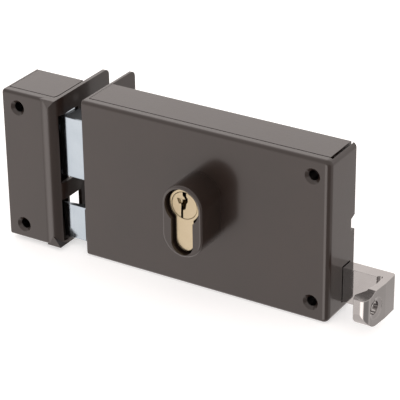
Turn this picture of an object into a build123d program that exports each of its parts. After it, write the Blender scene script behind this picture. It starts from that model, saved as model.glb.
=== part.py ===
"""Rim box lock: a surface-mounted door lock with its strike box, in millimetres.

The origin lies on the door face, below the cylinder axis and level with the centre line of the
latch. +X runs along the lock away from the door's edge, +Y into the door and +Z up.
"""
from build123d import *
from math import acos, cos, degrees, pi, radians, sin, sqrt
import os

# Case
case_length = 140.0
backset = 69.3                # from the faceplate to the cylinder's axis
case_height = 86.5
case_depth = 26.0
latch_line_share = 0.1734     # centre line of the latch above the bottom, as a share of case_height
sheet = 1.5                   # steel sheet of the cover and the base
faceplate_thickness = 2.0
flange_reach = 20.4           # how far the faceplate runs into the door, past its face
flange_corner = 3.5
end_bend = 3.0                # outside radius of the bend at the pull's end
edge_round = 0.8
lip_depth = 4.6               # folded lip along the top and the bottom of the front
lip_round = 2.0
seam = 0.6                    # gap between the cover and the base
base_bend = 0.5
end_seam = 1.3                # gap between the base's flanges and the end face
notch_height = 6.5            # notch in the rear edge of the end face
notch_depth = 3.5
notch_slope = 1.2
notch_share = 0.296           # its lower edge above the latch's centre line, as a share of case_height
rib_height = 17.7             # small rib beside the latch window, at the faceplate's front edge
rib_low = -7.3
rib_width = 1.7
rib_proud = 0.8
rib_setback = 1.0

# Fixing screws
screw_hole_radius = 2.6
screw_dish_radius = 4.1
tube_radius = 3.2
case_screw_inset = 9.5        # from the pull's end of the case
case_screw_low = 9.7          # above the bottom of the case
case_screw_high = 9.4         # below the top of the case
edge_screw_count = 3
edge_screw_pitch = 25.0
edge_screw_setback = 10.5     # behind the door face
edge_screw_radius = 2.4
edge_sink_share = 0.6         # depth of the countersinks, as a share of the plate

# Pillars that join each cover to its base, with a screw from behind
pillar_share = 0.0289         # radius of a pillar, as a share of case_height
case_pillar_inset = 16.0      # of the upper pillar at the pull's end, from the case's end
pillar_screw_radius = 1.45
pillar_head_radius = 2.6
pillar_head_height = 1.15
pillar_screw_length = 8.0

# Cylinder
cylinder_share = 0.437        # its axis above the centre line of the latch, as a share of case_height
cylinder_radius = 8.5
stem_width = 10.0
profile_height = 33.0
inner_half = 30.0             # from the middle of the cam to the face on the room's side
outer_half = 50.0
cam_setback = 11.0            # middle of the cam, in front of the door face
cam_width = 10.0
cam_reach = 15.0
cam_hub_radius = 8.2
cam_tooth_width = 5.0
cam_spigot_radius = 5.0
plug_radius = 7.2
running_gap = 0.05            # radial gap of every running fit
slide_gap = 0.35              # side gap of every sliding fit
end_gap = 0.2
retaining_radius = 2.5
retaining_head_radius = 4.4
retaining_height = 4.5        # retaining screw above the foot of the cylinder
keyway_left = ((-0.9, 9.0), (-0.9, 5.2), (0.2, 4.2), (0.2, 2.9), (-1.7, 2.2), (-2.1, -9.0))
keyway_right = ((1.1, 9.0), (1.1, 5.0), (1.9, 4.0), (1.9, 2.4), (1.2, 1.2), (0.5, -1.9), (-0.8, -2.6),
                (-0.8, -9.0))
scoop = ((-4.1, 3.2), (0.2, 3.2), (0.2, 1.2), (-3.1, 0.4))   # lead-in beside the keyway
scoop_depth = 1.1
clip_depth = 0.8
clip_width = 0.9
clip_setback = 0.8
clip_play_share = 0.1
clip_mouth_share = 0.7

# Pins of the cylinder
pin_count = 5
pin_radius = 1.4
pin_clearance = 0.06
pin_pitch = 4.0
pin_first = 5.2               # first pin behind the face
driver_length = 4.6
key_pin_tip = 0.9
key_pin_lengths = (4.6, 5.4, 4.2, 5.8, 5.0)
plug_cap_length = 1.6
pin_spring_wire = 0.35
pin_spring_turns = 5
closed_pitch_share = 1.3      # pitch of a coil's closed turns, as a share of the wire's diameter
closed_turns = 1

# Collar round the cylinder
collar_width = 22.4
collar_length = 38.1
collar_drop = 7.8             # its middle below the axis of the cylinder
collar_reach = 17.8
collar_round = 1.3
collar_gap = 1.1
rim_chamfer = 0.3
collar_screw_radius = 1.2
collar_screw_head = 2.1
collar_screw_head_height = 1.2
collar_screw_depth = 7.0

# Deadbolt
bolt_front = 22.0             # front face of both bolts, in front of the door face
bolt_thickness = 12.0
deadbolt_height_share = 0.385     # these three are shares of case_height
deadbolt_low_share = 0.2925       # its lower edge above the centre line of the latch
deadbolt_length = 30.0
deadbolt_throw = 17.0
deadbolt_reach = 17.5         # how far it stands out of the faceplate when thrown
deadbolt_chamfer = 1.6
deadbolt_slant = 2.6
bolt_round = 0.35
bolt_window_gap = 0.5
tail_thickness = 3.0
tail_low_share = 0.585            # lower edge of the tail above the centre line of the latch
tail_height_share = 0.1318        # as a share of case_height
tail_end = 37.0
tail_foot_share = 0.1156          # drop of the foot below the tail, as a share of case_height
tail_foot_length = 17.0
tail_seat_length = 10.0
rivet_radius = 2.0
rivet_gap = 0.02
stud_radius = 3.0
stud_collar_radius = 4.4
stud_head_height = 1.5
tail_stud_places = (-32.0, 30.0)
tail_slot_share = 0.526       # height of the slots in the tail, as a share of the tail's height
tail_hollow_shares = (0.25, 0.75)   # places of the hollows along the throw
brake_thickness = 0.8
brake_span = 44.0
brake_width = 4.0

# Latch and its slide
latch_height_share = 0.2197   # as a share of case_height
latch_hollow_share = 0.28     # how deep the bevel is hollowed
latch_length = 30.0
latch_travel = 16.0
latch_reach = 16.5
latch_nose = 1.7
latch_nose_root = 2.6
latch_nose_length = 6.8
latch_bevel_length = 6.5
slide_bar_thickness = 3.0
slide_bar_share = 0.1618      # its height, as a share of case_height
slide_bar_end = 52.0
slide_bar_inset = 3.0
latch_stud_place = -33.0
spring_window_start = -26.0
spring_window_length = 46.0
spring_stop_place = 10.0
spring_stop_thickness = 3.0
spring_stop_margin = 0.5
spring_wire = 0.9
spring_outer_radius = 3.9
spring_turns = 11

# Lever by which the cam draws the latch back
lever_thickness = 2.5
lever_pivot_x = 32.0
lever_pivot_share = 0.2775    # above the centre line of the latch, as a share of case_height
lever_pin_radius = 2.0
lever_pin_z = 1.5
lever_fork_gap = 0.45
lever_eye_radius = 6.0
lever_tip_radius = 2.4
lever_tip_gap = 0.5
lever_tip_drop = 5.0
lever_fork_wall = 2.2
lever_fork_end = 3.2

# Pull
arm_front = 11.4              # in front of the door face
arm_thickness = 7.2
pull_reach = 25.0             # outer face beyond the case's end
plate_thickness = 3.7
plate_round = 1.6
pull_front = 31.0             # foremost face of the finger lip, in front of the door face
pull_corner = 4.5
lip_reach = 9.4               # tip of the finger lip back from the outer face
lip_thickness = 2.6
lip_slope_share = 0.2         # slope of the lip's inner face, as a share of pull_front
pull_lean = 1.3               # how far the outer face falls back towards the lip
pull_foot_round = 8.0
pull_crown_drop = 3.6
pull_crown_length = 7.2
pull_hole_radius = 3.5
pull_hole_front = 23.6
pull_dish_radius = 5.6
pull_dish_depth = 0.9
dish_bottom_share = 0.75      # radius at the foot of the dish, as a share of the hole's
relief_radius = 1.5           # rounded relief in the pull's inner corner
tongue_thickness = 2.6
tongue_start = 30.0
pull_rivet_places = (35.0, 47.0)
tube_relief_gap = 0.6

# Strike box
strike_gap = 13.6             # from the faceplate to the strike, as set out for the photo
strike_length = 32.0
strike_shorter = 4.1          # how much less high the strike is than the case
strike_depth = 29.7
strike_low = 2.05             # its lower edge above the bottom of the case
strike_flange_reach = 19.7
strike_bend = 8.5
strike_lip_depth = 4.6
strike_lip_round = 1.8
strike_corner_fall = 5.4
strike_corner_turn = 24.0     # how far round the bend the facets' lowest point lies, in degrees
strike_window_front = 25.2
strike_window_back = 9.2
deadbolt_window_below = 3.3   # room round the bolts in the strike's windows
deadbolt_window_above = 1.0
latch_window_below = 1.5
latch_window_above = 3.2
strike_strip = 16.0
strike_screw_inset = 9.3
strike_screw_low = 7.9        # above the lower edge of the strike
strike_screw_high = 8.4       # below the upper edge of the strike
strike_pillar_low = 20.0      # above each fixing screw's side of the strike

overrun = 5.0                 # how far a cutter runs past the face that it leaves
match = 0.05                  # how near an edge lies to the place it is looked for

# Heights that follow from the case's height
latch_line_height = case_height * latch_line_share
notch_above_latch = case_height * notch_share
case_screw_pitch = case_height - case_screw_low - case_screw_high
cylinder_height = case_height * cylinder_share
collar_height = cylinder_height - collar_drop
deadbolt_height = case_height * deadbolt_height_share
deadbolt_low = case_height * deadbolt_low_share
tail_low = case_height * tail_low_share
tail_height = case_height * tail_height_share
tail_foot_drop = case_height * tail_foot_share
latch_height = case_height * latch_height_share
lever_pivot_z = case_height * lever_pivot_share
pillar_radius = case_height * pillar_share
slide_bar_height = case_height * slide_bar_share
strike_height = case_height - strike_shorter
strike_screw_pitch = strike_height - strike_screw_low - strike_screw_high
deadbolt_window_low = deadbolt_low - deadbolt_window_below
deadbolt_window_height = deadbolt_height + deadbolt_window_below + deadbolt_window_above
latch_window_low = -latch_height / 2 - latch_window_below
latch_window_height = latch_height + latch_window_below + latch_window_above

# Places that follow from the sizes above
case_left = -backset
case_right = case_length - backset
case_bottom = -latch_line_height
case_top = case_bottom + case_height
case_front = -case_depth
cover_inside = case_front + sheet
base_inside = -sheet
axis_z = cylinder_height
cam_middle = -cam_setback
cylinder_back = cam_middle + outer_half
inner_face = cam_middle - inner_half
foot_z = axis_z - profile_height + cylinder_radius
case_screw_x = case_right - case_screw_inset
case_screw_z = case_bottom + case_screw_low
tail_front = -bolt_front + bolt_thickness - tail_thickness
tail_back = -bolt_front + bolt_thickness
tail_slot_z = tail_low + tail_height * tail_slot_share
bar_front = tail_back
bar_back = bar_front + slide_bar_thickness
strike_right = case_left - strike_gap
strike_left = strike_right - strike_length
strike_bottom = case_bottom + strike_low
strike_top = strike_bottom + strike_height
strike_inside = -strike_depth + sheet
strike_screw_x = strike_left + strike_screw_inset
strike_screw_z = strike_bottom + strike_screw_low
latch_half = latch_height / 2
relief_top = case_screw_z + tube_radius + tube_relief_gap
pull_rivet_z = (relief_top + slide_bar_height / 2) / 2


def block(x0, x1, y0, y1, z0, z1):
    """A box between two corners."""
    return Pos((x0 + x1) / 2, (y0 + y1) / 2, (z0 + z1) / 2) * Box(x1 - x0, y1 - y0, z1 - z0)


def prism(sketch, y0, y1):
    """A sketch drawn in X and Z, as a solid from y0 to y1."""
    return extrude(Plane.XZ.offset(-y1) * sketch, amount=y1 - y0)


def slab(sketch, z0, z1):
    """A sketch drawn in X and Y, as a solid from z0 to z1."""
    return extrude(Plane.XY.offset(z0) * sketch, amount=z1 - z0)


def rod(x, z, radius, y0, y1):
    """A round bar along Y."""
    return prism(Pos(x, z) * Circle(radius), y0, y1)


def rod_x(y, z, radius, x0, x1):
    """A round bar along X."""
    return extrude(Plane.YZ.offset(x0) * Pos(y, z) * Circle(radius), amount=x1 - x0)


def rod_z(x, y, radius, z0, z1):
    """A round bar along Z."""
    return slab(Pos(x, y) * Circle(radius), z0, z1)


def dish(x, z, y, radius, hole_radius):
    """Cutter for a countersink whose mouth lies at y, opening towards -Y."""
    depth = radius - hole_radius
    cone = Cone(hole_radius, radius, depth)
    return Pos(x, y + depth / 2, z) * Rot(90, 0, 0) * cone


def long_edges(part, axis, **place):
    """The edges along one axis whose middles lie at the given coordinates."""
    found = part.edges().filter_by(axis)
    for name, value in place.items():
        found = found.filter_by(lambda e, n=name, v=value: abs(getattr(e.center(), n) - v) < match)
    return found


def group(pieces):
    """Several solids kept in one node."""
    return Compound(children=list(pieces))


def slot_shape(x0, x1, z, radius):
    """A round-ended slot between two centres."""
    return Pos((x0 + x1) / 2, z) * SlotCenterToCenter(x1 - x0, 2 * radius)


def biarc(p0, t0, p1, t1):
    """Two tangent arcs from p0 along t0 to p1 along t1."""
    chord = p1 - p0
    total = t0 + t1
    spread = 2 * (1 - t0.dot(t1))
    along = chord.dot(total)
    reach = (sqrt(along * along + spread * chord.dot(chord)) - along) / spread
    q0 = p0 + t0 * reach
    q1 = p1 - t1 * reach
    middle = (q0 + q1) * (1 / 2)
    first = Edge.make_tangent_arc(p0, t0, middle)
    second = Edge.make_tangent_arc(middle, (q1 - q0).normalized(), p1)
    return [first, second]


def coil(radius, wire_radius, length, turns):
    """A compression spring on +X from the origin: one unbroken swept wire with closed ends."""
    pitch_end = 2 * wire_radius * closed_pitch_share
    open_length = length - 2 * wire_radius - 2 * closed_turns * pitch_end
    pitch_open = open_length / (turns - 2 * closed_turns)
    quarter = pi / 2
    steps = turns * 4

    def climb(step):
        pitch = pitch_end if step < 4 * closed_turns or step >= steps - 4 * closed_turns else pitch_open
        return pitch / 4

    places = [0.0]
    for step in range(steps):
        places.append(places[-1] + climb(step))
    slopes = [climb(0)] + [(climb(s - 1) + climb(s)) / 2 for s in range(1, steps)] + [climb(steps - 1)]
    points = []
    tangents = []
    for step in range(steps + 1):
        angle = quarter * step
        x = wire_radius + places[step]
        points.append(Vector(x, radius * cos(angle), radius * sin(angle)))
        rise = slopes[step] / quarter
        tangents.append(Vector(rise, -radius * sin(angle), radius * cos(angle)).normalized())
    edges = []
    for step in range(steps):
        edges += biarc(points[step], tangents[step], points[step + 1], tangents[step + 1])
    path = Wire(edges)
    section = Plane(origin=points[0], z_dir=tangents[0]) * Circle(wire_radius)
    return sweep(section, path=path)


def coil_gap(wire_radius, length, turns):
    """Least gap between the open turns of a coil."""
    pitch_end = 2 * wire_radius * closed_pitch_share
    pitch_open = (length - 2 * wire_radius - 2 * closed_turns * pitch_end) / (turns - 2 * closed_turns)
    return pitch_open - 2 * wire_radius


def euro_profile(gap):
    """Outline of the profile cylinder, grown by a gap, in X and Z."""
    half = stem_width / 2 + gap
    stem_end = foot_z + stem_width / 2
    stem = Pos(0, (axis_z + stem_end) / 2) * Rectangle(2 * half, axis_z - stem_end)
    foot = Pos(0, stem_end) * Circle(half)
    return Pos(0, axis_z) * Circle(cylinder_radius + gap) + stem + foot


def pillar_screw(x, z):
    """Countersunk screw from the door side into a pillar."""
    shank = rod(x, z, pillar_screw_radius, -pillar_screw_length, -end_gap)
    head = dish_head(x, z, pillar_head_radius, pillar_screw_radius)
    return shank + head


def dish_head(x, z, radius, shank_radius):
    """Countersunk head that is flush with the door face."""
    depth = radius - shank_radius
    return Pos(x, -depth / 2 - end_gap / 2, z) * Rot(90, 0, 0) * Cone(radius, shank_radius, depth)


def pillar(x, z, front):
    """Threaded pillar between a cover and its base."""
    post = rod(x, z, pillar_radius, front, base_inside)
    bore = rod(x, z, pillar_screw_radius + running_gap, -pillar_screw_length - end_gap,
               base_inside + overrun)
    return post - bore


def screw_tube(x, z, front):
    """Spacer tube that a fixing screw passes through."""
    return rod(x, z, tube_radius, front, base_inside) - rod(x, z, screw_hole_radius, front - overrun,
                                                            overrun)


def lipped_front(left, right, bottom, top, front, inner_left, inner_right, depth):
    """Front plate with its short lips folded back along the top and the bottom."""
    plate = block(left, right, front, front + sheet, bottom, top)
    lips = [
        block(inner_left, inner_right, front, front + depth, top - sheet, top),
        block(inner_left, inner_right, front, front + depth, bottom, bottom + sheet),
    ]
    return plate + lips[0] + lips[1]


def rear_corners(x0, x1, reach, bottom, top):
    """Cutter that rounds the two rear corners of a flange."""
    cut = None
    for z, way in ((bottom, 1), (top, -1)):
        square = block(x0, x1, reach - flange_corner, reach + overrun, min(z, z + way * flange_corner),
                       max(z, z + way * flange_corner))
        square = square + block(x0, x1, reach - flange_corner, reach + overrun,
                                min(z, z - way * overrun), max(z, z - way * overrun))
        disc = rod_x(reach - flange_corner, z + way * flange_corner, flange_corner, x0, x1)
        corner = square - disc
        cut = corner if cut is None else cut + corner
    return cut


def edge_screw_cuts(x_out, x_in, middle_z):
    """Countersunk holes for the screws into the door's edge, open towards -X."""
    cuts = []
    first = middle_z - edge_screw_pitch * (edge_screw_count - 1) / 2
    head = edge_screw_radius + faceplate_thickness * edge_sink_share
    depth = head - edge_screw_radius
    for index in range(edge_screw_count):
        z = first + index * edge_screw_pitch
        hole = rod_x(edge_screw_setback, z, edge_screw_radius, x_out - overrun, x_in + overrun)
        sink = Pos(x_out + depth / 2, edge_screw_setback, z) * Rot(0, 90, 0) * Cone(head,
                                                                                    edge_screw_radius, depth)
        cuts += [hole, sink]
    return cuts


def make_case_cover():
    """Folded cover: faceplate with its rear flange, front with lips, and end face."""
    front = lipped_front(case_left, case_right, case_bottom, case_top, case_front,
                         case_left + faceplate_thickness, case_right - sheet, lip_depth)
    face = block(case_left, case_left + faceplate_thickness, case_front, flange_reach, case_bottom,
                 case_top)
    end = block(case_right - sheet, case_right, case_front, 0, case_bottom, case_top)
    cover = front + face + end
    for z in (case_top, case_bottom):
        cover = fillet(long_edges(cover, Axis.X, Y=case_front, Z=z), lip_round)
    cover = fillet(long_edges(cover, Axis.Z, X=case_right, Y=case_front), end_bend)
    cover = fillet(long_edges(cover, Axis.Z, X=case_left, Y=case_front), edge_round)
    cover -= rear_corners(case_left - overrun, case_left + overrun, flange_reach, case_bottom, case_top)
    for cut in edge_screw_cuts(case_left, case_left + faceplate_thickness, (case_bottom + case_top) / 2):
        cover -= cut
    cover -= block(case_left - overrun, case_left + overrun, -bolt_front - bolt_window_gap,
                   -bolt_front + bolt_thickness + bolt_window_gap,
                   deadbolt_low - bolt_window_gap, deadbolt_low + deadbolt_height + bolt_window_gap)
    cover -= block(case_left - overrun, case_left + overrun, -bolt_front - bolt_window_gap,
                   -bolt_front + bolt_thickness + bolt_window_gap,
                   -latch_half - bolt_window_gap, latch_half + bolt_window_gap)
    cover -= block(case_right - sheet - overrun, case_right + overrun, -arm_front - bolt_window_gap,
                   -arm_front + arm_thickness + bolt_window_gap,
                   -latch_half - bolt_window_gap, latch_half + bolt_window_gap)
    rib_front = case_front + rib_setback
    cover += block(case_left - rib_proud, case_left + faceplate_thickness / 2, rib_front,
                   rib_front + rib_width,
                   rib_low, rib_low + rib_height)
    low = notch_above_latch
    outline = Polyline((-notch_depth, low), (overrun, low), (overrun, low + notch_height + notch_slope),
                       (0, low + notch_height + notch_slope), (-notch_depth,
                                                               low + notch_height), close=True)
    cover -= extrude(Plane.YZ.offset(case_right - sheet - overrun) * make_face(outline),
                     amount=sheet + 2 * overrun)
    for z in (case_screw_z, case_screw_z + case_screw_pitch):
        cover -= rod(case_screw_x, z, screw_hole_radius, case_front - overrun, cover_inside + overrun)
        cover -= dish(case_screw_x, z, case_front, screw_dish_radius, screw_hole_radius)
    cover -= prism(euro_profile(collar_gap), case_front - overrun, cover_inside + overrun)
    for x in collar_screw_places():
        cover -= rod(x, collar_screw_z, collar_screw_radius + slide_gap, case_front - overrun,
                     cover_inside + overrun)
    retaining_z = foot_z + retaining_height
    cover -= rod_x(cam_middle, retaining_z, retaining_radius + slide_gap, case_left - overrun,
                   case_left + overrun)
    depth = retaining_head_radius - retaining_radius
    sink = Pos(case_left + depth / 2, cam_middle, retaining_z) * Rot(0, 90, 0)
    cover -= sink * Cone(retaining_head_radius + slide_gap, retaining_radius + slide_gap, depth)
    return cover


def channel_base(left, right, bottom, top, front, plate_right):
    """Base: a plate on the door with flanges along its top and its bottom."""
    plate = block(left, plate_right, -sheet, 0, bottom, top)
    upper = block(left, right, front, 0, top - sheet, top)
    lower = block(left, right, front, 0, bottom, bottom + sheet)
    return plate + upper + lower


def make_case_base():
    left = case_left + faceplate_thickness + end_gap
    right = case_right - sheet - end_seam
    base = channel_base(left, right, case_bottom, case_top, case_front + lip_depth + seam, right)
    for z in (case_top, case_bottom):
        base = fillet(long_edges(base, Axis.X, Y=0, Z=z), base_bend)
    base -= prism(euro_profile(collar_gap), -sheet - overrun, overrun)
    for z in (case_screw_z, case_screw_z + case_screw_pitch):
        base -= rod(case_screw_x, z, screw_hole_radius, -sheet - overrun, overrun)
    for x, z in case_pillar_places():
        base -= pillar_hole(x, z)
    return base


def pillar_hole(x, z):
    """Countersunk hole in a base for a pillar screw."""
    depth = pillar_head_radius - pillar_screw_radius
    hole = rod(x, z, pillar_screw_radius + end_gap, -sheet - overrun, overrun)
    mouth = pillar_head_radius + end_gap
    sink = Pos(x, -depth / 2, z) * Rot(90, 0, 0) * Cone(mouth, pillar_screw_radius + end_gap, depth)
    return hole + sink


def case_pillar_places():
    """Pillars stand above the tail and below the slide, clear of all that moves."""
    high = case_top - sheet - pillar_radius - end_gap
    low = case_bottom + sheet + pillar_radius + end_gap
    return ((case_left + 3 * pillar_radius, high), (case_right - case_pillar_inset, high),
            (latch_stud_place - stud_radius, low), (lever_pivot_x, low))


def collar_screw_places():
    offset = (collar_width / 2 + stem_width / 2 + collar_gap) / 2
    return (-offset, offset)


collar_screw_z = foot_z + stem_width


def make_collar():
    """Oval boss round the cylinder, with a rounded rim."""
    spread = collar_length - collar_width
    outline = Pos(0, collar_height) * Rot(0, 0, 90) * SlotCenterToCenter(spread, collar_width)
    collar = prism(outline, case_front - collar_reach, case_front)
    rim = collar.faces().sort_by(Axis.Y)[0].edges()
    collar = fillet(rim, collar_round)
    collar -= prism(euro_profile(collar_gap), case_front - collar_reach - overrun, case_front + overrun)
    for x in collar_screw_places():
        collar -= rod(x, collar_screw_z, collar_screw_radius, case_front - collar_screw_depth,
                      case_front + overrun)
    return collar


def make_collar_screws():
    screws = []
    for x in collar_screw_places():
        shank = rod(x, collar_screw_z, collar_screw_radius - running_gap,
                    case_front - collar_screw_depth + end_gap, cover_inside)
        head = rod(x, collar_screw_z, collar_screw_head, cover_inside,
                   cover_inside + collar_screw_head_height)
        screws.append(shank + head)
    return group(screws)


def pin_places(outer):
    """Distances along Y of the pins on one side of the cylinder."""
    for index in range(pin_count):
        setback = pin_first + index * pin_pitch
        yield cylinder_back - setback if outer else inner_face + setback


def cam_slot():
    """Bounds along Y of the slot in the cylinder that holds the cam."""
    half = cam_width / 2 + end_gap
    return cam_middle - half, cam_middle + half


def make_cylinder_body():
    body = prism(euro_profile(0), inner_face, cylinder_back)
    for face in (body.faces().sort_by(Axis.Y)[0], body.faces().sort_by(Axis.Y)[-1]):
        body = chamfer(face.outer_wire().edges(), rim_chamfer)
    body -= rod(0, axis_z, plug_radius + running_gap, inner_face - overrun, cylinder_back + overrun)
    y0, y1 = cam_slot()
    bridge_top = axis_z - cam_reach - 2 * slide_gap
    body -= block(-cylinder_radius - overrun, cylinder_radius + overrun, y0, y1, bridge_top,
                  axis_z + cylinder_radius + overrun)
    retaining_z = foot_z + retaining_height
    body -= rod_x(cam_middle, retaining_z, retaining_radius, -stem_width, stem_width)
    for outer in (False, True):
        for y in pin_places(outer):
            body -= rod_z(0, y, pin_radius + pin_clearance, foot_z - overrun, axis_z)
    return body


def make_pin_set(kind):
    """Pins, springs or chamber caps of both halves of the cylinder."""
    shear = axis_z - plug_radius
    cap_top = foot_z + plug_cap_length + end_gap
    driver_top = shear - running_gap
    driver_low = driver_top - driver_length
    pieces = []
    for outer in (False, True):
        for index, y in enumerate(pin_places(outer)):
            if kind == "driver":
                pieces.append(rod_z(0, y, pin_radius, driver_low, driver_top))
            elif kind == "cap":
                pieces.append(rod_z(0, y, pin_radius + pin_clearance / 2, foot_z + end_gap, cap_top))
            elif kind == "spring":
                wire = pin_spring_wire / 2
                spring = coil(pin_radius - wire - pin_clearance, wire, driver_low - cap_top,
                              pin_spring_turns)
                pieces.append(Pos(0, y, cap_top) * Rot(0, -90, 0) * spring)
    return group(pieces)


def make_key_pins(outer):
    """Key pins of one plug, each with a blunt point towards the key."""
    shear = axis_z - plug_radius
    pins = []
    for index, y in enumerate(pin_places(outer)):
        length = key_pin_lengths[index % len(key_pin_lengths)]
        low = shear + running_gap
        pin = rod_z(0, y, pin_radius, low, low + length - key_pin_tip)
        tip = Pos(0, y, low + length - key_pin_tip / 2) * Cone(pin_radius, pin_radius / 2, key_pin_tip)
        pins.append(pin + tip)
    return group(pins)


def make_plug(outer):
    """Plug with its zigzag keyway, the key's lead-in, a spigot for the cam, pin holes and a clip groove."""
    slot_front, slot_back = cam_slot()
    way = 1 if outer else -1
    mouth = cylinder_back if outer else inner_face
    inner_end = slot_back if outer else slot_front
    past = mouth + way * overrun
    plug = rod(0, axis_z, plug_radius, *sorted((mouth, inner_end)))
    rim = plug.faces().sort_by(Axis.Y)[-1 if outer else 0].edges()
    plug = chamfer(rim, rim_chamfer)
    spigot_end = cam_middle + way * end_gap
    plug += rod(0, axis_z, cam_spigot_radius, *sorted((spigot_end, inner_end + way * overrun)))
    outline = list(keyway_left) + list(reversed(keyway_right))
    keyway = Pos(0, axis_z) * make_face(Polyline(*outline, close=True))
    key_stop = inner_end + way * (clip_setback + clip_width + end_gap)
    plug -= prism(keyway, *sorted((key_stop, past)))
    lead_in = Pos(0, axis_z) * make_face(Polyline(*scoop, close=True))
    plug -= prism(lead_in, *sorted((mouth - way * scoop_depth, past)))
    for y in pin_places(outer):
        plug -= rod_z(0, y, pin_radius + pin_clearance, axis_z - plug_radius - overrun, axis_z)
    groove_start = inner_end + clip_setback if outer else inner_end - clip_setback - clip_width
    ring = rod(0, axis_z, plug_radius + overrun, groove_start, groove_start + clip_width)
    plug -= ring - rod(0, axis_z, plug_radius - clip_depth, groove_start, groove_start + clip_width)
    return plug


def make_plug_clip(outer):
    """Spring clip in the groove of a plug, open on one side."""
    y0, y1 = cam_slot()
    start = y1 + clip_setback if outer else y0 - clip_setback - clip_width
    play = clip_width * clip_play_share
    ring = rod(0, axis_z, plug_radius - running_gap, start + play, start + clip_width - play)
    ring -= rod(0, axis_z, plug_radius - clip_depth + running_gap, start - overrun,
                start + clip_width + overrun)
    mouth = plug_radius - clip_depth
    mouth_half = mouth * clip_mouth_share
    ring -= block(-mouth_half, mouth_half, start - overrun, start + clip_width + overrun, axis_z,
                  axis_z + 2 * plug_radius)
    return ring


def make_cam():
    """Cam between the plugs: a hub with one tooth that points down with the key out."""
    half = cam_width / 2
    hub = Pos(0, axis_z) * Circle(cam_hub_radius)
    arm_end = axis_z - sqrt(cam_reach ** 2 - (cam_tooth_width / 2) ** 2)
    arm = Pos(0, (axis_z + arm_end) / 2) * Rectangle(cam_tooth_width, axis_z - arm_end)
    cam = prism(hub + arm, cam_middle - half, cam_middle + half)
    cam -= rod(0, axis_z, cam_spigot_radius + running_gap, cam_middle - cam_width, cam_middle + cam_width)
    return cam


def make_retaining_screw():
    """Long screw from the faceplate into the foot of the cylinder."""
    z = foot_z + retaining_height
    end = stem_width / 2
    depth = retaining_head_radius - retaining_radius
    shank = rod_x(cam_middle, z, retaining_radius - running_gap, case_left + end_gap, end)
    head = Pos(case_left + end_gap + depth / 2, cam_middle, z) * Rot(0, 90, 0)
    return shank + head * Cone(retaining_head_radius, retaining_radius - running_gap, depth)


def make_deadbolt_head():
    """Solid head with a slanted end, a chamfered leading edge and a seat for the tail."""
    tip = case_left - deadbolt_reach
    rear = tip + deadbolt_length
    front, back = -bolt_front, -bolt_front + bolt_thickness
    outline = Polyline((tip + deadbolt_chamfer, front), (rear, front), (rear, back),
                       (tip + deadbolt_slant, back),
                       (tip, front + deadbolt_chamfer), close=True)
    top = deadbolt_low + deadbolt_height
    head = slab(make_face(outline), deadbolt_low, top)
    for z in (deadbolt_low, top):
        head = chamfer(long_edges(head, Axis.X, Z=z), bolt_round)
    seat_start = rear - tail_seat_length
    head -= block(seat_start, rear + overrun, tail_front, back + overrun, deadbolt_low - overrun,
                  top + overrun)
    for z in deadbolt_rivet_heights():
        head -= rod(deadbolt_rivet_x(), z, rivet_radius + rivet_gap, front + bolt_thickness / 2,
                    back + overrun)
    return head


def deadbolt_rivet_x():
    return case_left - deadbolt_reach + deadbolt_length - tail_seat_length / 2


def deadbolt_rivet_heights():
    top = deadbolt_low + deadbolt_height
    foot = tail_low - tail_foot_drop
    span = top - foot
    return (foot + span / 4, top - span / 4)


def make_deadbolt_rivets():
    back = -bolt_front + bolt_thickness
    pins = [rod(deadbolt_rivet_x(), z, rivet_radius, -bolt_front + bolt_thickness / 2, back)
            for z in deadbolt_rivet_heights()]
    return group(pins)


def make_deadbolt_tail():
    """Tail plate over the cylinder: slots for its studs, and hollows that clear the cam's circle."""
    rear = case_left - deadbolt_reach + deadbolt_length
    seat_start = rear - tail_seat_length + end_gap
    head_top = deadbolt_low + deadbolt_height
    bar = block(rear - end_gap, tail_end, tail_front, tail_back, tail_low, tail_low + tail_height)
    foot_top = min(head_top, tail_low + tail_height)
    foot = block(seat_start, seat_start + tail_foot_length, tail_front, tail_back,
                 tail_low - tail_foot_drop, foot_top)
    tail = bar + foot
    play = running_gap
    for x in tail_stud_places:
        slot = slot_shape(x - deadbolt_throw - play, x + play, tail_slot_z, stud_radius + slide_gap)
        tail -= prism(slot, tail_front - overrun, tail_back + overrun)
    swing = cam_reach + 2 * slide_gap
    for share in tail_hollow_shares:
        passed = deadbolt_throw * share
        hollow = slot_shape(-passed - slide_gap, -passed + slide_gap, axis_z, swing)
        tail -= prism(hollow, tail_front - overrun, tail_back + overrun)
    for z in deadbolt_rivet_heights():
        tail -= rod(deadbolt_rivet_x(), z, rivet_radius + rivet_gap, tail_front - overrun,
                    tail_back + overrun)
    return tail


def guide_stud(x, z, front, back):
    """Stud riveted to the base: a collar behind the plate it guides and a head in front."""
    collar = rod(x, z, stud_collar_radius, back + end_gap, base_inside)
    neck = rod(x, z, stud_radius, front - end_gap, back + end_gap)
    head = rod(x, z, stud_collar_radius, front - end_gap - stud_head_height, front - end_gap)
    return collar + neck + head


def make_tail_studs():
    return group(guide_stud(x, tail_slot_z, tail_front, tail_back) for x in tail_stud_places)


def make_brake_spring():
    """Bowed leaf spring that presses on the tail's upper edge and holds the bolt where it is."""
    top = case_top - sheet - end_gap
    low = tail_low + tail_height + end_gap
    half = brake_span / 2
    outer = ThreePointArc((-half, top - brake_thickness), (0, low), (half, top - brake_thickness))
    inner = ThreePointArc((half, top), (0, low + brake_thickness), (-half, top))
    sides = [Line(outer @ 1, inner @ 0), Line(inner @ 1, outer @ 0)]
    outline = make_face(Wire([*outer.edges(), *sides[0].edges(), *inner.edges(), *sides[1].edges()]))
    middle = (tail_front + tail_back) / 2
    return prism(outline, middle - brake_width / 2, middle + brake_width / 2)


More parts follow.
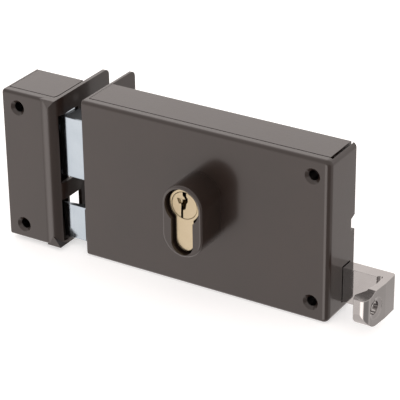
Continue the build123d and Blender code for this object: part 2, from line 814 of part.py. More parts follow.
def make_latch_head():
    """Latch with a thin nose and a hollow bevel towards the door's closing side."""
    tip = case_left - latch_reach
    rear = tip + latch_length
    front, back = -bolt_front, -bolt_front + bolt_thickness
    nose_end = tip + latch_nose_length
    bevel_end = nose_end + latch_bevel_length
    root = front + latch_nose_root
    middle_x = (nose_end + bevel_end) / 2 + (bevel_end - nose_end) * latch_hollow_share
    middle_y = (root + back) / 2 - (back - root) * latch_hollow_share
    nose = Polyline((bevel_end, back), (rear, back), (rear, front), (tip + latch_nose / 2, front),
                    (tip, front + latch_nose / 2), (tip, front + latch_nose), (nose_end, root))
    hollow = ThreePointArc((nose_end, root), (middle_x, middle_y), (bevel_end, back))
    head = slab(make_face(Wire([*nose.edges(), *hollow.edges()])), -latch_half, latch_half)
    return head - latch_rivet_cut()


def latch_rivet_places():
    rear = case_left - latch_reach + latch_length
    x = (case_left + slide_bar_inset + rear) / 2
    return ((x, -slide_bar_height / 4), (x, slide_bar_height / 4))


def latch_rivet_cut():
    middle = -bolt_front + bolt_thickness / 2
    first, second = [rod(x, z, rivet_radius + rivet_gap, middle, bar_back + overrun) for x,
                     z in latch_rivet_places()]
    return first + second


def make_latch_rivets():
    middle = -bolt_front + bolt_thickness / 2
    return group(rod(x, z, rivet_radius, middle, bar_back) for x, z in latch_rivet_places())


def tube_relief():
    """Cutter that keeps the slide and the arm clear of the lower screw tube over the travel."""
    room = tube_radius + tube_relief_gap
    x0 = case_screw_x - room - latch_travel
    x1 = case_screw_x + room
    return block(x0, x1, -case_depth, overrun, -latch_half - overrun, case_screw_z + room)


def make_slide_bar():
    """Bar from the latch to the pull, with a guide slot and the spring's window."""
    half = slide_bar_height / 2
    bar = block(case_left + slide_bar_inset, slide_bar_end, bar_front, bar_back, -half, half)
    slot = slot_shape(latch_stud_place - latch_travel - running_gap, latch_stud_place + running_gap, 0,
                      stud_radius + slide_gap)
    bar -= prism(slot, bar_front - overrun, bar_back + overrun)
    window_half = spring_outer_radius + slide_gap
    bar -= block(spring_window_start, spring_window_start + spring_window_length, bar_front - overrun,
                 bar_back + overrun, -window_half, window_half)
    bar -= tube_relief()
    for x, z in latch_rivet_places():
        bar -= rod(x, z, rivet_radius + rivet_gap, bar_front - overrun, bar_back + overrun)
    for x in pull_rivet_places:
        bar -= rod(x, pull_rivet_z, rivet_radius + rivet_gap, bar_front - overrun, bar_back + overrun)
    bar -= rod(lever_pin_x(), lever_pin_z, lever_pin_radius + rivet_gap, bar_front - overrun,
               bar_back + overrun)
    return bar


def lever_pin_x():
    """The pin rests half the travel before the lever's pivot and ends half the travel past it."""
    return lever_pivot_x - latch_travel / 2


def make_lever_pin():
    front = bar_front - 2 * end_gap - lever_thickness
    return rod(lever_pin_x(), lever_pin_z, lever_pin_radius, front, bar_back)


def make_spring_stop():
    """Bracket on the base that stands in the window and holds the fixed end of the spring."""
    half = spring_outer_radius - spring_stop_margin
    front = bar_front - slide_bar_thickness / 2
    post = block(spring_stop_place, spring_stop_place + spring_stop_thickness, front, base_inside,
                 -half, half)
    foot = block(spring_stop_place, spring_stop_place + 3 * spring_stop_thickness, base_inside - sheet,
                 base_inside, -half, half)
    return post + foot


def make_latch_spring():
    length = spring_stop_place - spring_window_start - 2 * end_gap
    spring = coil(spring_outer_radius - spring_wire / 2, spring_wire / 2, length, spring_turns)
    middle = (bar_front + bar_back) / 2
    return Pos(spring_window_start + end_gap, middle, 0) * spring


def lever_rest_angle():
    """Half of the lever's swing, in degrees."""
    return degrees(corner_angle(latch_travel / 2, lever_pivot_z - lever_pin_z))


def corner_angle(opposite, adjacent):
    """Angle in radians of a right triangle, from its two short sides."""
    return acos(adjacent / sqrt(opposite * opposite + adjacent * adjacent))


def make_latch_lever():
    """Two-armed lever: a fork on the slide's pin, and an arm that the cam's tooth meets."""
    front = bar_front - end_gap - lever_thickness
    back = bar_front - end_gap
    drop = lever_pivot_z - lever_pin_z
    fork_half = lever_pin_radius + lever_fork_gap + lever_fork_wall
    fork_end = drop + lever_fork_end
    fork = Pos(0, -fork_end / 2) * Rectangle(2 * fork_half, fork_end)
    slit_start = drop - lever_pin_radius - lever_fork_gap * 2
    slit = Pos(0, -(slit_start + fork_end + overrun) / 2) * Rectangle(
        2 * (lever_pin_radius + lever_fork_gap), fork_end + overrun - slit_start)
    arm = Rot(0, 0, -lever_rest_angle()) * (fork - slit)
    tip_distance = cam_reach + lever_tip_radius + lever_tip_gap
    tip_z = axis_z - lever_tip_drop
    tip_x = sqrt(tip_distance ** 2 - lever_tip_drop ** 2)
    dx, dz = tip_x - lever_pivot_x, tip_z - lever_pivot_z
    length = sqrt(dx * dx + dz * dz)
    turn = degrees(acos(dx / length)) if dz >= 0 else -degrees(acos(dx / length))
    upper = Rot(0, 0, turn) * Pos(length / 2, 0) * Rectangle(length, 2 * lever_tip_radius)
    tip = Pos(dx, dz) * Circle(lever_tip_radius)
    eye = Circle(lever_eye_radius)
    shape = Pos(lever_pivot_x, lever_pivot_z) * (arm + upper + tip + eye)
    lever = prism(shape, front, back)
    return lever - rod(lever_pivot_x, lever_pivot_z, stud_radius + running_gap, front - overrun,
                       back + overrun)


def make_lever_stud():
    front = bar_front - end_gap - lever_thickness
    return guide_stud(lever_pivot_x, lever_pivot_z, front, bar_front - end_gap)


def pull_outline():
    """Plan of the pull: arm, upright plate that leans back a little, and finger lip."""
    outer = case_right + pull_reach
    back = -arm_front + arm_thickness
    lean_x = outer - pull_lean
    front = -pull_front
    tip_x = outer - lip_reach
    inner = outer - plate_thickness
    lip_back = front + lip_thickness
    points = [(slide_bar_end + end_gap, back), (outer, back), (outer, -arm_front - arm_thickness / 2),
              (lean_x, front), (tip_x, front), (tip_x, lip_back),
              (inner - pull_lean, front + pull_front * lip_slope_share),
              (inner, -arm_front - arm_thickness), (inner, -arm_front), (slide_bar_end + end_gap,
                                                                         -arm_front)]
    return make_face(Polyline(*points, close=True))


def make_pull():
    """Cast pull: the arm runs into the case and carries an upright plate with a finger lip."""
    outer = case_right + pull_reach
    front = -pull_front
    pull = slab(pull_outline(), -latch_half, latch_half)
    pull = fillet(long_edges(pull, Axis.Z, X=outer, Y=-arm_front + arm_thickness), pull_corner / 3)
    pull = fillet(long_edges(pull, Axis.Z, X=outer - pull_lean, Y=front), pull_corner)
    pull -= rod_z(outer - plate_thickness - relief_radius, -arm_front, relief_radius,
                  -latch_half - overrun, latch_half + overrun)
    tip_edges = long_edges(pull, Axis.Z, X=outer - lip_reach, Y=front)
    pull = fillet(tip_edges, lip_thickness / 3)
    foot = rod_x(front + pull_foot_round, -latch_half + pull_foot_round, pull_foot_round,
                 case_right, outer + overrun)
    corner = block(case_right, outer + overrun, front - overrun, front + pull_foot_round,
                   -latch_half - overrun, -latch_half + pull_foot_round)
    pull -= corner - foot
    crown = Polyline((front - overrun, latch_half - pull_crown_drop),
                     (front, latch_half - pull_crown_drop),
                     (front + pull_crown_length, latch_half),
                     (front + pull_crown_length, latch_half + overrun),
                     (front - overrun, latch_half + overrun), close=True)
    pull -= extrude(Plane.YZ.offset(case_right) * make_face(crown), amount=pull_reach + overrun)
    tongue = block(tongue_start, slide_bar_end + 2 * end_gap, bar_back, bar_back + tongue_thickness,
                   -slide_bar_height / 2, slide_bar_height / 2)
    pull += tongue
    pull -= tube_relief()
    pull -= rod_x(-pull_hole_front, 0, pull_hole_radius, outer - lip_reach, outer + overrun)
    outer_there = outer - pull_lean * (pull_hole_front - arm_front) / (pull_front - arm_front)
    lean = degrees(corner_angle(pull_lean, pull_front - arm_front))
    bowl = Pos(outer_there, -pull_hole_front, 0) * Rot(0, 0, -lean) * Rot(0, 90, 0)
    bottom_radius = pull_hole_radius * dish_bottom_share
    pull -= bowl * Pos(0, 0, -pull_dish_depth / 2) * Cone(bottom_radius, pull_dish_radius, pull_dish_depth)
    pull -= bowl * Pos(0, 0, pull_dish_depth / 2) * Cylinder(pull_dish_radius, pull_dish_depth)
    for x in pull_rivet_places:
        pull -= rod(x, pull_rivet_z, rivet_radius + rivet_gap, bar_back - overrun,
                    bar_back + tongue_thickness + overrun)
    return pull


def make_pull_rivets():
    return group(rod(x, pull_rivet_z, rivet_radius, bar_front, bar_back + tongue_thickness)
                 for x in pull_rivet_places)


def strike_corner(z, way):
    """Two slanted facets that carry the strike's wide bend out into the square corner of a lip."""
    x, y = strike_right, -strike_depth
    turn = radians(strike_corner_turn)
    corner = Vector(x, y, z)
    on_front = Vector(x - strike_bend, y, z)
    on_side = Vector(x, y + strike_bend, z)
    low = Vector(x - strike_bend * (1 - sin(turn)), y + strike_bend * (1 - cos(turn)),
                 z + way * strike_corner_fall)
    sides = ((corner, on_front, on_side), (corner, on_front, low), (corner, on_side, low),
             (on_front, on_side, low))
    wedge = Solid(Shell([make_face(Polyline(*side, close=True)).face() for side in sides]))
    inside = rod_z(x - strike_bend, y + strike_bend, strike_bend - sheet,
                   z - strike_corner_fall - overrun, z + strike_corner_fall + overrun)
    return wedge.fix() - inside


def make_strike_cover():
    """Folded strike box: wide bend into the side plate, which has the bolts' windows."""
    plate_left = strike_left
    front = lipped_front(plate_left, strike_right, strike_bottom, strike_top, -strike_depth,
                         plate_left + sheet, strike_right - faceplate_thickness, strike_lip_depth)
    side = block(strike_right - faceplate_thickness, strike_right, -strike_depth, strike_flange_reach,
                 strike_bottom, strike_top)
    left = block(plate_left, plate_left + sheet, -strike_depth, 0, strike_bottom, strike_top)
    cover = front + side + left
    for z in (strike_top, strike_bottom):
        cover = fillet(long_edges(cover, Axis.X, Y=-strike_depth, Z=z), strike_lip_round)
    inner_bend = strike_bend - faceplate_thickness
    inner_fill = block(strike_right - faceplate_thickness - inner_bend, strike_right - faceplate_thickness,
                       strike_inside, strike_inside + inner_bend, strike_bottom, strike_top)
    inner_fill -= rod_z(strike_right - faceplate_thickness - inner_bend, strike_inside + inner_bend,
                        inner_bend,
                        strike_bottom - overrun, strike_top + overrun)
    cover += inner_fill
    outside = block(strike_right - strike_bend, strike_right + overrun, -strike_depth - overrun,
                    -strike_depth + strike_bend, strike_bottom - overrun, strike_top + overrun)
    outside -= rod_z(strike_right - strike_bend, -strike_depth + strike_bend, strike_bend,
                     strike_bottom - 2 * overrun, strike_top + 2 * overrun)
    cover -= outside
    cover += strike_corner(strike_top, -1) + strike_corner(strike_bottom, 1)
    cover = fillet(long_edges(cover, Axis.Z, X=plate_left, Y=-strike_depth), edge_round)
    cover -= rear_corners(strike_right - overrun, strike_right + overrun, strike_flange_reach,
                          strike_bottom, strike_top)
    for low, height in ((deadbolt_window_low, deadbolt_window_height),
                        (latch_window_low, latch_window_height)):
        cover -= block(strike_right - strike_bend - overrun, strike_right + overrun, -strike_window_front,
                       -strike_window_back, low, low + height)
    for cut in edge_screw_cuts(strike_right - faceplate_thickness, strike_right,
                               (strike_bottom + strike_top) / 2):
        cover -= cut.mirror(Plane.YZ.offset(strike_right - faceplate_thickness / 2))
    for z in (strike_screw_z, strike_screw_z + strike_screw_pitch):
        cover -= rod(strike_screw_x, z, screw_hole_radius, -strike_depth - overrun, strike_inside + overrun)
        cover -= dish(strike_screw_x, z, -strike_depth, screw_dish_radius, screw_hole_radius)
    return cover


def strike_pillar_places():
    return tuple((strike_screw_x, z) for z in (strike_screw_z + strike_pillar_low,
                                               strike_screw_z + strike_screw_pitch - strike_pillar_low))


def make_strike_base():
    left = strike_left + sheet + end_gap
    right = strike_right - faceplate_thickness - seam
    base_front = -strike_depth + strike_lip_depth + seam
    base = channel_base(left, right, strike_bottom, strike_top, base_front, left + strike_strip)
    inner_bend = strike_bend - faceplate_thickness
    corner = block(right - inner_bend, right + overrun, -strike_depth, strike_inside + inner_bend,
                   strike_bottom, strike_top)
    round_end = rod_z(strike_right - strike_bend, -strike_depth + strike_bend, inner_bend - seam,
                      strike_bottom - overrun, strike_top + overrun)
    base -= corner - round_end
    for z in (strike_screw_z, strike_screw_z + strike_screw_pitch):
        base -= rod(strike_screw_x, z, screw_hole_radius, -sheet - overrun, overrun)
    for x, z in strike_pillar_places():
        base -= pillar_hole(x, z)
    return base


def build_all():
    """Every node of the lock by name."""
    nodes = {
        "case_cover": make_case_cover(),
        "case_base": make_case_base(),
        "case_pillars": group(pillar(x, z, cover_inside) for x, z in case_pillar_places()),
        "case_pillar_screws": group(pillar_screw(x, z) for x, z in case_pillar_places()),
        "case_screw_tubes": group(screw_tube(case_screw_x, z, cover_inside)
                                  for z in (case_screw_z, case_screw_z + case_screw_pitch)),
        "cylinder_collar": make_collar(),
        "collar_screws": make_collar_screws(),
        "cylinder_body": make_cylinder_body(),
        "driver_pins": make_pin_set("driver"),
        "pin_springs": make_pin_set("spring"),
        "chamber_caps": make_pin_set("cap"),
        "outer_plug": make_plug(True),
        "outer_plug_clip": make_plug_clip(True),
        "outer_key_pins": make_key_pins(True),
        "retaining_screw": make_retaining_screw(),
        "tail_studs": make_tail_studs(),
        "brake_spring": make_brake_spring(),
        "latch_stud": guide_stud(latch_stud_place, 0, bar_front, bar_back),
        "lever_stud": make_lever_stud(),
        "spring_stop": make_spring_stop(),
        "latch_spring": make_latch_spring(),
        "inner_plug": make_plug(False),
        "inner_plug_clip": make_plug_clip(False),
        "inner_key_pins": make_key_pins(False),
        "cam": make_cam(),
        "deadbolt_head": make_deadbolt_head(),
        "deadbolt_tail": make_deadbolt_tail(),
        "deadbolt_rivets": make_deadbolt_rivets(),
        "latch_head": make_latch_head(),
        "slide_bar": make_slide_bar(),
        "latch_rivets": make_latch_rivets(),
        "lever_pin": make_lever_pin(),
        "pull_handle": make_pull(),
        "pull_rivets": make_pull_rivets(),
        "latch_lever": make_latch_lever(),
        "strike_cover": make_strike_cover(),
        "strike_base": make_strike_base(),
        "strike_pillars": group(pillar(x, z, strike_inside) for x, z in strike_pillar_places()),
        "strike_pillar_screws": group(pillar_screw(x, z) for x, z in strike_pillar_places()),
        "strike_screw_tubes": group(screw_tube(strike_screw_x, z, strike_inside)
                                    for z in (strike_screw_z, strike_screw_z + strike_screw_pitch)),
    }
    return nodes


os.makedirs("parts", exist_ok=True)
for name, solid in build_all().items():
    export_step(solid, "parts/" + name + ".step")
spring_length = spring_stop_place - spring_window_start - 2 * end_gap
print("latch spring, gap between turns", round(coil_gap(spring_wire / 2, spring_length, spring_turns), 2))
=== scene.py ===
import math

import bpy
from mathutils import Matrix, Vector


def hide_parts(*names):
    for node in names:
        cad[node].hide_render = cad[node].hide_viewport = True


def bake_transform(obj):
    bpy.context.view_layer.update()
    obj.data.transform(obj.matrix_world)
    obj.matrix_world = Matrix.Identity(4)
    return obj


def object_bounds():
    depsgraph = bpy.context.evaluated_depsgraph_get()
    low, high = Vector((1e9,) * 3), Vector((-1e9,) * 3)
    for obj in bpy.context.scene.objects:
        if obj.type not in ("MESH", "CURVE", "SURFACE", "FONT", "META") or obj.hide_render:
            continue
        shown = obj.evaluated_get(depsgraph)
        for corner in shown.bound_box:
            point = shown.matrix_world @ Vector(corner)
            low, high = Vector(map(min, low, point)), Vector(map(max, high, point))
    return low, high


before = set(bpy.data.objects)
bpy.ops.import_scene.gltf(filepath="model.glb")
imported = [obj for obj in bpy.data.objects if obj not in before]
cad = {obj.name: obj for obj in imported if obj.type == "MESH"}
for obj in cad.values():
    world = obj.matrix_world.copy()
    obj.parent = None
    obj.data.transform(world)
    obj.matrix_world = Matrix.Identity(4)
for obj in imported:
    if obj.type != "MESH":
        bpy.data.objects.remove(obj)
cad_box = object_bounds()
scene = bpy.context.scene

# Camera
# The lock is seen from the room, from the right of its middle and from above, with a long lens.
# The angles and the aim come from a fit to the case's edges. The distance and the lens keep that fit's
# scale, but the fit itself gave 0.868 m and 154.7 mm.
AZIMUTH = math.radians(31.73)
ELEVATION = math.radians(26.88)
ROLL = math.radians(-0.745)
DISTANCE = 0.984
AIM = Vector((-0.0173, 0.0013, 0.0179))
LENS_MM = 175.4
FILM_WIDTH_MM = 36
camera = bpy.data.objects.new("camera", bpy.data.cameras.new("camera"))
camera.data.lens = LENS_MM
camera.data.sensor_width = FILM_WIDTH_MM
camera.data.dof.use_dof = False
turn = Matrix.Rotation(AZIMUTH, 3, "Z") @ Matrix.Rotation(math.pi / 2 - ELEVATION, 3, "X")
turn = turn @ Matrix.Rotation(ROLL, 3, "Z")
camera.matrix_world = Matrix.Translation(AIM + turn @ Vector((0, 0, DISTANCE))) @ turn.to_4x4()
scene.collection.objects.link(camera)
scene.camera = camera
scene.view_settings.view_transform = "Standard"

# Floor
# A plain sheet of pale card under the lock, wide enough to fill every view. The lock mirrors the
# room and not the card.
CARD_HALF_WIDTH = 4.0
CARD_DROP = 0.0002
CARD_GREY = (0.75, 0.75, 0.75, 1)
CARD_GLOW = 0.55
CARD_ROUGHNESS = 0.8
card_level = cad_box[0][2] - CARD_DROP
card_corners = [(side * CARD_HALF_WIDTH, end * CARD_HALF_WIDTH, card_level)
                for side, end in ((-1, -1), (1, -1), (1, 1), (-1, 1))]
card_mesh = bpy.data.meshes.new("floor")
card_mesh.from_pydata(card_corners, [], [(0, 1, 2, 3)])
pale_card = bpy.data.materials.new("pale_card")
pale_card.use_nodes = True
card_shader = pale_card.node_tree.nodes["Principled BSDF"]
card_shader.inputs["Base Color"].default_value = CARD_GREY
card_shader.inputs["Roughness"].default_value = CARD_ROUGHNESS
card_shader.inputs["Emission Color"].default_value = (1, 1, 1, 1)
card_shader.inputs["Emission Strength"].default_value = CARD_GLOW
card_mesh.materials.append(pale_card)
floor = bpy.data.objects.new("floor", card_mesh)
floor.visible_glossy = False
scene.collection.objects.link(floor)

# Studio light
# A warm white room. Each row is a soft patch of its walls: where it lies, how alike a direction is
# to that at the patch's edge and in its core, and how much brighter or darker than the room it is.
ROOM_COLOUR = (1, 0.93, 0.9, 1)
ROOM_BRIGHTNESS = 1.0
SOFT_BOX_LOW_IN_FRONT = ((-0.02, -0.9, -0.44), 0.92, 0.985, 1.7)
DARK_CORNER_FRONT_RIGHT = ((0.7, -0.55, -0.45), 0.72, 0.96, -0.6)
DIM_CORNER_BACK_RIGHT = ((0.62, 0.63, -0.47), 0.75, 0.98, -0.35)
BRIGHT_BACK_WALL = ((-0.4, 0.8, 0.45), 0.5, 0.95, 0.3)
BRIGHT_LEFT_WALL = ((-0.75, -0.63, -0.17), 0.82, 1.0, 0.75)
world = bpy.data.worlds.new("studio")
world.use_nodes = True
scene.world = world
room = world.node_tree
around = room.nodes.new("ShaderNodeTexCoord")
brightness = None
for direction, edge, core, gain in (SOFT_BOX_LOW_IN_FRONT, DARK_CORNER_FRONT_RIGHT, DIM_CORNER_BACK_RIGHT,
                                    BRIGHT_BACK_WALL, BRIGHT_LEFT_WALL):
    alike = room.nodes.new("ShaderNodeVectorMath")
    alike.operation = "DOT_PRODUCT"
    alike.inputs[1].default_value = direction
    room.links.new(around.outputs["Generated"], alike.inputs[0])
    fade = room.nodes.new("ShaderNodeMapRange")
    fade.interpolation_type = "SMOOTHSTEP"
    for socket, value in zip(("From Min", "From Max", "To Min", "To Max"), (edge, core, 0.0, gain)):
        fade.inputs[socket].default_value = value
    room.links.new(alike.outputs["Value"], fade.inputs["Value"])
    blend = room.nodes.new("ShaderNodeMath")
    blend.operation = "ADD"
    if brightness is None:
        blend.inputs[0].default_value = ROOM_BRIGHTNESS
    else:
        room.links.new(brightness, blend.inputs[0])
    room.links.new(fade.outputs["Result"], blend.inputs[1])
    brightness = blend.outputs["Value"]
room.links.new(brightness, room.nodes["Background"].inputs["Strength"])
room.nodes["Background"].inputs["Color"].default_value = ROOM_COLOUR


# Case cover and case base
# The lock's box, folded from steel sheet: the cover is its front, faceplate and end, and the base is its
# back with the top and bottom flanges. Both are stove-enamelled dark brown with a fine orange peel, and
# screws from the back hold them together.
PEEL_PER_METRE = 900.0
CLOUDS_PER_METRE = 30.0
FOLD_RADIUS = 0.0004
FOLD_LIKENESS = 0.8
NOISE_LOW, NOISE_HIGH = 0.3, 0.7
CLOUD_THIN, CLOUD_THICK = 0.2, 0.8
ENAMEL_DARK = (0.017, 0.0105, 0.008)
ENAMEL_LIGHT = (0.022, 0.0135, 0.0105)
# Painted highlight: a lighter colour laid on the folds to stand in for the light along the rounded edges.
ENAMEL_FOLD_HIGHLIGHT = (0.03, 0.021, 0.0175)
ENAMEL_SMOOTHEST, ENAMEL_ROUGHEST = 0.32, 0.41
ENAMEL_GLAZE_ROUGHNESS = 0.17
ENAMEL_SHINE_UNDER_GLAZE = 0.15
PEEL_STRENGTH, PEEL_HEIGHT = 0.12, 0.0002


def add_node(tree, kind, **values):
    """A shader node with the named settings and inputs."""
    node = tree.nodes.new(kind)
    for key, value in values.items():
        if hasattr(node, key):
            setattr(node, key, value)
        else:
            node.inputs[key.replace("_", " ")].default_value = value
    return node


def new_effect(name, inputs, outputs):
    """An empty node group for one effect, with its ends."""
    tree = bpy.data.node_groups.new(name, "ShaderNodeTree")
    for label, kind, value in inputs:
        tree.interface.new_socket(label, in_out="INPUT", socket_type=kind).default_value = value
    for label, kind in outputs:
        tree.interface.new_socket(label, in_out="OUTPUT", socket_type=kind)
    return tree, tree.nodes.new("NodeGroupInput"), tree.nodes.new("NodeGroupOutput")


def spread(tree, mask, low, high, at_low, at_high):
    """The mask between low and high, spread from at_low to at_high and held there."""
    node = add_node(tree, "ShaderNodeMapRange", clamp=True)
    for socket, value in zip(("From Min", "From Max", "To Min", "To Max"), (low, high, at_low, at_high)):
        node.inputs[socket].default_value = value
    tree.links.new(mask, node.inputs["Value"])
    return node.outputs["Result"]


def softened_normal(tree, radius):
    """The normal with its sharp edges rounded off, as a folded or tumbled edge has."""
    bevel = add_node(tree, "ShaderNodeBevel", samples=6)
    if hasattr(radius, "links"):
        tree.links.new(radius, bevel.inputs["Radius"])
    else:
        bevel.inputs["Radius"].default_value = radius
    return bevel.outputs["Normal"]


def mixed_colour(tree, mask, first, second):
    """A colour between two, by a mask. The first one may be another node's colour."""
    mix = add_node(tree, "ShaderNodeMix", data_type="RGBA")
    if hasattr(first, "links"):
        tree.links.new(first, mix.inputs["A"])
    else:
        mix.inputs["A"].default_value = (*first, 1)
    mix.inputs["B"].default_value = (*second, 1)
    tree.links.new(mask, mix.inputs["Factor"])
    return mix.outputs["Result"]


def bumped_normal(tree, height, normal, strength, distance):
    """The normal with a fine relief on it."""
    bump = add_node(tree, "ShaderNodeBump", Strength=strength, Distance=distance)
    tree.links.new(height, bump.inputs["Height"])
    tree.links.new(normal, bump.inputs["Normal"])
    return bump.outputs["Normal"]


def enamel_skin():
    """Clouds in the enamel's thickness, its orange peel, and a mask of the folds that carry a painted highlight.
    """
    tree, given, out = new_effect(
        "enamel_peel",
        [("Peel Scale", "NodeSocketFloat", PEEL_PER_METRE), ("Cloud Scale", "NodeSocketFloat", CLOUDS_PER_METRE),
         ("Fold Radius", "NodeSocketFloat", FOLD_RADIUS)],
        [("Cloud", "NodeSocketFloat"), ("Peel", "NodeSocketFloat"), ("Fold", "NodeSocketFloat"),
         ("Soft Normal", "NodeSocketVector")])
    place = add_node(tree, "ShaderNodeTexCoord")
    cloud = add_node(tree, "ShaderNodeTexNoise", Detail=4.0, Roughness=0.55)
    peel = add_node(tree, "ShaderNodeTexNoise", Detail=2.0, Roughness=0.5)
    for noise, scale, label in ((cloud, "Cloud Scale", "Cloud"), (peel, "Peel Scale", "Peel")):
        tree.links.new(place.outputs["Object"], noise.inputs["Vector"])
        tree.links.new(given.outputs[scale], noise.inputs["Scale"])
        tree.links.new(noise.outputs["Fac"], out.inputs[label])
    soft = softened_normal(tree, given.outputs["Fold Radius"])
    real = add_node(tree, "ShaderNodeNewGeometry")
    likeness = add_node(tree, "ShaderNodeVectorMath", operation="DOT_PRODUCT")
    tree.links.new(soft, likeness.inputs[0])
    tree.links.new(real.outputs["Normal"], likeness.inputs[1])
    tree.links.new(spread(tree, likeness.outputs["Value"], FOLD_LIKENESS, 1.0, 1.0, 0.0), out.inputs["Fold"])
    tree.links.new(soft, out.inputs["Soft Normal"])
    return tree


def stove_enamel(name, skin_effect):
    """Dark brown stove enamel: clouded colour, a painted highlight on the folds and orange peel under a clear
    glaze.
    """
    material = bpy.data.materials.new(name)
    material.use_nodes = True
    tree = material.node_tree
    shader = tree.nodes["Principled BSDF"]
    shader.inputs["Coat Weight"].default_value = 1.0
    shader.inputs["Coat Roughness"].default_value = ENAMEL_GLAZE_ROUGHNESS
    shader.inputs["Specular IOR Level"].default_value = ENAMEL_SHINE_UNDER_GLAZE
    skin = add_node(tree, "ShaderNodeGroup", node_tree=skin_effect)
    cloud = skin.outputs["Cloud"]
    clouded = mixed_colour(tree, spread(tree, cloud, NOISE_LOW, NOISE_HIGH, 0.0, 1.0), ENAMEL_DARK, ENAMEL_LIGHT)
    # Painted highlight: the folds are made lighter where the edge catches light.
    colour = mixed_colour(tree, skin.outputs["Fold"], clouded, ENAMEL_FOLD_HIGHLIGHT)
    shine = spread(tree, cloud, CLOUD_THIN, CLOUD_THICK, ENAMEL_SMOOTHEST, ENAMEL_ROUGHEST)
    relief = bumped_normal(tree, skin.outputs["Peel"], skin.outputs["Soft Normal"], PEEL_STRENGTH, PEEL_HEIGHT)
    tree.links.new(colour, shader.inputs["Base Color"])
    tree.links.new(shine, shader.inputs["Roughness"])
    tree.links.new(relief, shader.inputs["Normal"])
    return material


def finish_with(material, *pieces):
    """Gives pieces of the frame their finish."""
    for piece in pieces:
        mesh = cad[piece].data
        mesh.materials.clear()
        mesh.materials.append(material)


brown_enamel = stove_enamel("brown_enamel", enamel_skin())
finish_with(brown_enamel, "case_cover", "case_base")

# Strike cover and strike base
# The box on the door frame that takes the bolts. It is folded and enamelled as the case is, and its
# base's plate lies in the frame's rebate.
finish_with(brown_enamel, "strike_cover", "strike_base")

# Cylinder collar
# The die-cast ring round the cylinder on the room's side. It is enamelled with the case, and two
# screws from inside the cover hold it.
finish_with(brown_enamel, "cylinder_collar")


# Deadbolt and its tail
# The head is a bar of drawn steel, ground and bright zinc-plated, and it is riveted to the flat
# tail that the cylinder's cam drives.
GROUND_LINES_UPRIGHT = (900.0, 900.0, 60.0)
GROUND_LINES_LEVEL = (60.0, 900.0, 900.0)
LINE_DEPTH = 0.06
LINE_HEIGHT = 0.0001
WAVES_PER_METRE = 60.0
EDGE_RADIUS = 0.0004
SMOOTHER_ON_LAND, ROUGHER_IN_LINE = 0.04, 0.06
ZINC_DARK = (0.37, 0.43, 0.48)
ZINC_LIGHT = (0.415, 0.475, 0.525)
ZINC_ROUGHNESS = 0.14


def tool_skin():
    """Fine tool lines along a piece, slow waves in its colour, and its broken edges."""
    tree, given, out = new_effect(
        "ground_lines",
        [("Along", "NodeSocketVector", GROUND_LINES_LEVEL), ("Wave Scale", "NodeSocketFloat", WAVES_PER_METRE)],
        [("Lines", "NodeSocketFloat"), ("Wave", "NodeSocketFloat"), ("Soft Normal", "NodeSocketVector")])
    place = add_node(tree, "ShaderNodeTexCoord")
    drawn_out = add_node(tree, "ShaderNodeVectorMath", operation="MULTIPLY")
    tree.links.new(place.outputs["Object"], drawn_out.inputs[0])
    tree.links.new(given.outputs["Along"], drawn_out.inputs[1])
    lines = add_node(tree, "ShaderNodeTexNoise", Scale=1.0, Detail=3.0, Roughness=0.6)
    tree.links.new(drawn_out.outputs["Vector"], lines.inputs["Vector"])
    tree.links.new(lines.outputs["Fac"], out.inputs["Lines"])
    wave = add_node(tree, "ShaderNodeTexNoise", Detail=2.0)
    tree.links.new(place.outputs["Object"], wave.inputs["Vector"])
    tree.links.new(given.outputs["Wave Scale"], wave.inputs["Scale"])
    tree.links.new(wave.outputs["Fac"], out.inputs["Wave"])
    tree.links.new(softened_normal(tree, EDGE_RADIUS), out.inputs["Soft Normal"])
    return tree


ground_lines = tool_skin()


def worked_metal(name, dark, light, roughness, along=GROUND_LINES_LEVEL, line_depth=LINE_DEPTH):
    """Plated or bare metal with fine tool lines and a slightly uneven shine."""
    material = bpy.data.materials.new(name)
    material.use_nodes = True
    tree = material.node_tree
    shader = tree.nodes["Principled BSDF"]
    shader.inputs["Metallic"].default_value = 1.0
    skin = add_node(tree, "ShaderNodeGroup", node_tree=ground_lines)
    skin.inputs["Along"].default_value = along
    lines = skin.outputs["Lines"]
    wave = spread(tree, skin.outputs["Wave"], NOISE_LOW, NOISE_HIGH, 0.0, 1.0)
    colour = mixed_colour(tree, wave, dark, light)
    shine = spread(tree, lines, NOISE_LOW, NOISE_HIGH, roughness - SMOOTHER_ON_LAND, roughness + ROUGHER_IN_LINE)
    relief = bumped_normal(tree, lines, skin.outputs["Soft Normal"], line_depth, LINE_HEIGHT)
    tree.links.new(colour, shader.inputs["Base Color"])
    tree.links.new(shine, shader.inputs["Roughness"])
    tree.links.new(relief, shader.inputs["Normal"])
    return material


bright_zinc = worked_metal("bright_zinc", ZINC_DARK, ZINC_LIGHT, ZINC_ROUGHNESS, along=GROUND_LINES_UPRIGHT)
finish_with(bright_zinc, "deadbolt_head", "deadbolt_tail")

# Latch head and slide bar
# The sprung latch is a zinc-plated block with a bevelled side, riveted to a stamped bar that runs
# along the case's floor to the pull.
finish_with(bright_zinc, "latch_head", "slide_bar")

# Latch lever
# A stamped and zinc-plated plate with two arms on its stud. One arm's fork holds the pin of the slide
# bar, and the cam's tooth meets the other at the end of the key's turn and so draws the latch back.
finish_with(bright_zinc, "latch_lever")

# Studs and spring stop
# Turned studs with a collar behind the plate that each one guides or carries, riveted to the base,
# and the bracket in the slide bar's window that holds the fixed end of the spring. All are zinc-plated.
finish_with(bright_zinc, "tail_studs", "latch_stud", "lever_stud", "spring_stop")

# Pillars
# Turned and tapped posts between each cover and its base, zinc-plated. A screw from behind goes into
# each one and holds the box together.
finish_with(bright_zinc, "case_pillars", "strike_pillars")
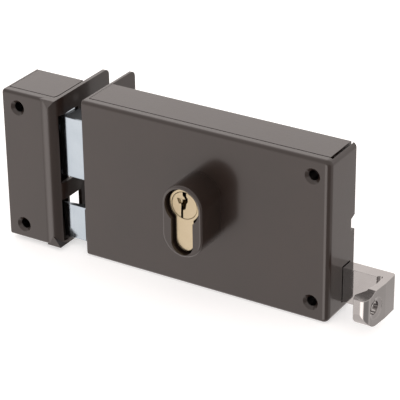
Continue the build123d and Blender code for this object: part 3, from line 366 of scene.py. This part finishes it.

# Screw tubes
# Cut lengths of steel tube round the fixing screws inside both boxes. They are coloured near black as painted
# shade, so the screw holes read dark. They stand between cover and base and keep the screws from pressing the
# cover in.
TUBE_DARK = (0.05, 0.045, 0.045)
TUBE_LIGHT = (0.08, 0.07, 0.07)
TUBE_ROUGHNESS = 0.4
# Painted shade: the tubes are made near black so the holes in front of them look shaded.
near_black_tube_shade = worked_metal("near_black_tube_shade", TUBE_DARK, TUBE_LIGHT, TUBE_ROUGHNESS)
finish_with(near_black_tube_shade, "case_screw_tubes", "strike_screw_tubes")

# Rivets, screws and pins
# Small turned and headed steel parts, left bare: the rivets of the deadbolt, latch and pull, the
# lever's pin, and the screws of the pillars, the collar and the cylinder.
TURNED_DARK = (0.5, 0.5, 0.5)
TURNED_LIGHT = (0.58, 0.58, 0.57)
TURNED_ROUGHNESS = 0.3
turned_steel = worked_metal("turned_steel", TURNED_DARK, TURNED_LIGHT, TURNED_ROUGHNESS)
finish_with(turned_steel, "deadbolt_rivets", "latch_rivets", "pull_rivets", "lever_pin", "case_pillar_screws",
            "strike_pillar_screws", "collar_screws", "retaining_screw")

# Cam
# The ring between the two plugs, with the tooth that drives the tail. It is sintered steel, and the
# inner plug turns it.
finish_with(turned_steel, "cam")

# Brake spring, pin springs and plug clips
# Hardened steel wire and strip: the bowed leaf that presses on the tail's upper edge, the small coils
# over the driver pins, and the open rings that hold the plugs in the body.
SPRING_DARK = (0.34, 0.34, 0.35)
SPRING_LIGHT = (0.46, 0.46, 0.47)
SPRING_ROUGHNESS = 0.34
spring_steel = worked_metal("spring_steel", SPRING_DARK, SPRING_LIGHT, SPRING_ROUGHNESS)
finish_with(spring_steel, "brake_spring", "pin_springs", "inner_plug_clip", "outer_plug_clip")

# Latch spring
# The coil of hardened wire that drives the latch out. It stands between its stop on the case and the slide bar,
# and closes up as the pull is drawn. This is a still copy of the frame's coil, and the frame's own coil is
# hidden.
finish_with(spring_steel, "latch_spring")
latch_coil = bpy.data.objects.new("latch_spring_coil", cad["latch_spring"].data.copy())
scene.collection.objects.link(latch_coil)
latch_coil.matrix_world = cad["latch_spring"].matrix_world.copy()
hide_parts("latch_spring")
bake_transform(latch_coil)

# Profile cylinder
# The body is drawn brass bar, the plugs and pins are turned from brass, and the keyway is broached.
# All of it is left bare. One long screw through the faceplate holds the body in the case.
BRASS_LINES = (900.0, 60.0, 900.0)
BRASS_DARK = (0.43, 0.36, 0.24)
BRASS_LIGHT = (0.49, 0.42, 0.295)
BRASS_ROUGHNESS = 0.2
pale_brass = worked_metal("pale_brass", BRASS_DARK, BRASS_LIGHT, BRASS_ROUGHNESS, along=BRASS_LINES)
finish_with(pale_brass, "cylinder_body", "inner_plug", "outer_plug", "driver_pins", "chamber_caps",
            "inner_key_pins", "outer_key_pins")

# Pull
# The hooked handle that draws the latch back. It is a zinc die casting, polished and nickel-plated,
# and it is riveted to the slide bar inside the case.
NICKEL_LINES = (400.0, 2400.0, 2400.0)
NICKEL_LINE_DEPTH = 0.004
NICKEL_DARK = (0.385, 0.375, 0.37)
NICKEL_LIGHT = (0.425, 0.415, 0.41)
NICKEL_ROUGHNESS = 0.06
polished_nickel = worked_metal("polished_nickel", NICKEL_DARK, NICKEL_LIGHT, NICKEL_ROUGHNESS,
                               along=NICKEL_LINES, line_depth=NICKEL_LINE_DEPTH)
finish_with(polished_nickel, "pull_handle")
